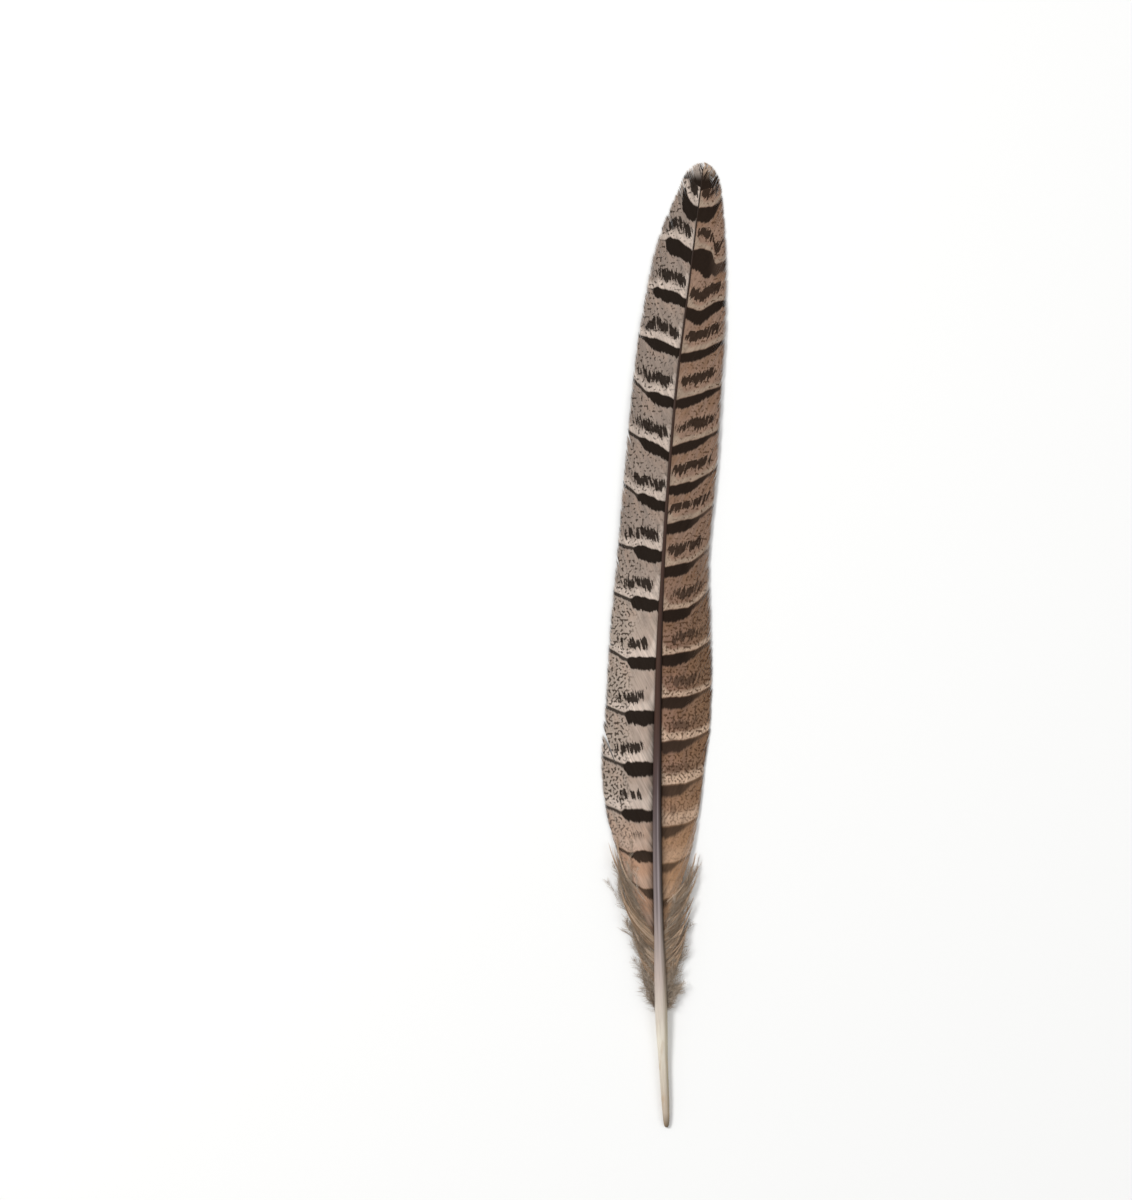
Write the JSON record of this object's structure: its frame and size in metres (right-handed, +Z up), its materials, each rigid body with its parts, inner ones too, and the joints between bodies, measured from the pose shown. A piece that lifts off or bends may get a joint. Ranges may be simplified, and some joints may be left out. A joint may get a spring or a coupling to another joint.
{
  "type": "pheasant tail feather",
  "caption": "Long barred bird's tail feather lying flat: a bare quill, soft down at its foot, and two vanes with dark chevron bars on buff, up to a worn rounded tip.",
  "frame": {"origin": "on the table under the middle of the lying feather's box", "axes": "+Y from the quill's end to the tip, +X to the right seen from above, +Z up from the table through the feather's upper side"},
  "size_m": [0.0348, 0.2642, 0.005],
  "materials": {
    "feather": "soft matte keratin, barred dark brown on buff; the quill is smooth and slightly glossy"
  },
  "bodies": {
    "root": {"feather": "feather"}
  },
  "joints": []
}
